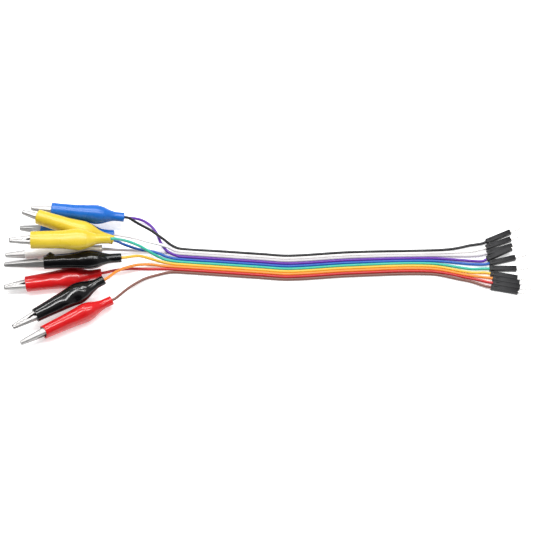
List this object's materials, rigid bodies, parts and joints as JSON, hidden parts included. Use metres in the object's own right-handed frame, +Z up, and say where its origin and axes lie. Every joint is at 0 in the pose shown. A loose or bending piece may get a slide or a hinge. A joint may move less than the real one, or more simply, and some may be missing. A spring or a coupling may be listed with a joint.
{
  "type": "alligator clip lead set",
  "caption": "Flat ribbon of coloured wires, with booted spring alligator clips at one end and single-pin header housings at the other.",
  "frame": {"origin": "on the table plane, under the centre of the box round the whole cable set", "axes": "+Z up from the table, +X along the ribbon from the clips to the header pins, +Y to the far side of the ribbon"},
  "size_m": [0.2709, 0.0797, 0.0293],
  "materials": {
    "boot_blue": "soft glossy PVC",
    "boot_yellow": "soft glossy PVC",
    "boot_white": "soft glossy PVC",
    "boot_black": "soft glossy PVC",
    "boot_red": "soft glossy PVC",
    "wire_black": "satin PVC insulation",
    "wire_white": "satin PVC insulation",
    "wire_grey": "satin PVC insulation",
    "wire_purple": "satin PVC insulation",
    "wire_blue": "satin PVC insulation",
    "wire_green": "satin PVC insulation",
    "wire_yellow": "satin PVC insulation",
    "wire_orange": "satin PVC insulation",
    "wire_red": "satin PVC insulation",
    "wire_brown": "satin PVC insulation",
    "jaw_nickel": "bright nickel-plated steel",
    "housing_black": "satin moulded plastic",
    "contact_tin": "bright tinned phosphor bronze"
  },
  "bodies": {
    "leads": {"black_boot": "boot_blue", "black_lower_jaw": "jaw_nickel", "black_wire": "wire_black", "black_housing": "housing_black", "black_contact": "contact_tin", "white_boot": "boot_blue", "white_lower_jaw": "jaw_nickel", "white_wire": "wire_white", "white_housing": "housing_black", "white_contact": "contact_tin", "grey_boot": "boot_white", "grey_lower_jaw": "jaw_nickel", "grey_wire": "wire_grey", "grey_housing": "housing_black", "grey_contact": "contact_tin", "purple_boot": "boot_white", "purple_lower_jaw": "jaw_nickel", "purple_wire": "wire_purple", "purple_housing": "housing_black", "purple_contact": "contact_tin", "blue_boot": "boot_yellow", "blue_lower_jaw": "jaw_nickel", "blue_wire": "wire_blue", "blue_housing": "housing_black", "blue_contact": "contact_tin", "green_boot": "boot_yellow", "green_lower_jaw": "jaw_nickel", "green_wire": "wire_green", "green_housing": "housing_black", "green_contact": "contact_tin", "yellow_boot": "boot_black", "yellow_lower_jaw": "jaw_nickel", "yellow_wire": "wire_yellow", "yellow_housing": "housing_black", "yellow_contact": "contact_tin", "orange_boot": "boot_black", "orange_lower_jaw": "jaw_nickel", "orange_wire": "wire_orange", "orange_housing": "housing_black", "orange_contact": "contact_tin", "red_boot": "boot_red", "red_lower_jaw": "jaw_nickel", "red_wire": "wire_red", "red_housing": "housing_black", "red_contact": "contact_tin", "brown_boot": "boot_red", "brown_lower_jaw": "jaw_nickel", "brown_wire": "wire_brown", "brown_housing": "housing_black", "brown_contact": "contact_tin"},
    "black_jaw": {"black_upper_jaw": "jaw_nickel"},
    "white_jaw": {"white_upper_jaw": "jaw_nickel"},
    "grey_jaw": {"grey_upper_jaw": "jaw_nickel"},
    "purple_jaw": {"purple_upper_jaw": "jaw_nickel"},
    "blue_jaw": {"blue_upper_jaw": "jaw_nickel"},
    "green_jaw": {"green_upper_jaw": "jaw_nickel"},
    "yellow_jaw": {"yellow_upper_jaw": "jaw_nickel"},
    "orange_jaw": {"orange_upper_jaw": "jaw_nickel"},
    "red_jaw": {"red_upper_jaw": "jaw_nickel"},
    "brown_jaw": {"brown_upper_jaw": "jaw_nickel"}
  },
  "joints": [
    {"name": "black_jaw_pivot", "type": "hinge", "parent": "leads", "child": "black_jaw", "pos_m": [-0.10083, 0.02917, 0.01704], "axis": [0.0349, 0.9994, 0], "range_deg": [0, 20], "stiffness_Nm_per_rad": 0.05, "springref_deg": -28.65, "deforming": ["black_boot"]},
    {"name": "white_jaw_pivot", "type": "hinge", "parent": "leads", "child": "white_jaw", "pos_m": [-0.10792, 0.02389, 0.00574], "axis": [0.0596, 0.9378, -0.342], "range_deg": [0, 20], "stiffness_Nm_per_rad": 0.05, "springref_deg": -28.65, "deforming": ["white_boot"]},
    {"name": "grey_jaw_pivot", "type": "hinge", "parent": "leads", "child": "grey_jaw", "pos_m": [-0.11443, 0.0112, 0.00577], "axis": [-0.0767, 0.9971, 0], "range_deg": [0, 20], "stiffness_Nm_per_rad": 0.05, "springref_deg": -28.65, "deforming": ["grey_boot"]},
    {"name": "purple_jaw_pivot", "type": "hinge", "parent": "leads", "child": "purple_jaw", "pos_m": [-0.10107, 0.03466, 0.00571], "axis": [0.0976, 0.9952, 0], "range_deg": [0, 20], "stiffness_Nm_per_rad": 0.05, "springref_deg": -28.65, "deforming": ["purple_boot"]},
    {"name": "blue_jaw_pivot", "type": "hinge", "parent": "leads", "child": "blue_jaw", "pos_m": [-0.1054, 0.02096, 0.01983], "axis": [0.2045, 0.9789, 0], "range_deg": [0, 20], "stiffness_Nm_per_rad": 0.05, "springref_deg": -28.65, "deforming": ["blue_boot"]},
    {"name": "green_jaw_pivot", "type": "hinge", "parent": "leads", "child": "green_jaw", "pos_m": [-0.10977, 0.00978, 0.02449], "axis": [-0.1145, 0.1662, -0.9794], "range_deg": [0, 20], "stiffness_Nm_per_rad": 0.05, "springref_deg": -28.65, "deforming": ["green_boot"]},
    {"name": "yellow_jaw_pivot", "type": "hinge", "parent": "leads", "child": "yellow_jaw", "pos_m": [-0.1133, 0.00196, 0.01418], "axis": [-0.028, 0.6949, 0.7186], "range_deg": [0, 20], "stiffness_Nm_per_rad": 0.05, "springref_deg": -28.65, "deforming": ["yellow_boot"]},
    {"name": "orange_jaw_pivot", "type": "hinge", "parent": "leads", "child": "orange_jaw", "pos_m": [-0.11038, -0.0215, 0.00944], "axis": [-0.0282, 0.0843, -0.996], "range_deg": [0, 20], "stiffness_Nm_per_rad": 0.05, "springref_deg": -28.65, "deforming": ["orange_boot"]},
    {"name": "red_jaw_pivot", "type": "hinge", "parent": "leads", "child": "red_jaw", "pos_m": [-0.11433, -0.00463, 0.00498], "axis": [-0.0264, 0.084, -0.9961], "range_deg": [0, 20], "stiffness_Nm_per_rad": 0.05, "springref_deg": -28.65, "deforming": ["red_boot"]},
    {"name": "brown_jaw_pivot", "type": "hinge", "parent": "leads", "child": "brown_jaw", "pos_m": [-0.1061, -0.02948, 0.00565], "axis": [-0.471, 0.8821, 0], "range_deg": [0, 20], "stiffness_Nm_per_rad": 0.05, "springref_deg": -28.65, "deforming": ["brown_boot"]}
  ]
}
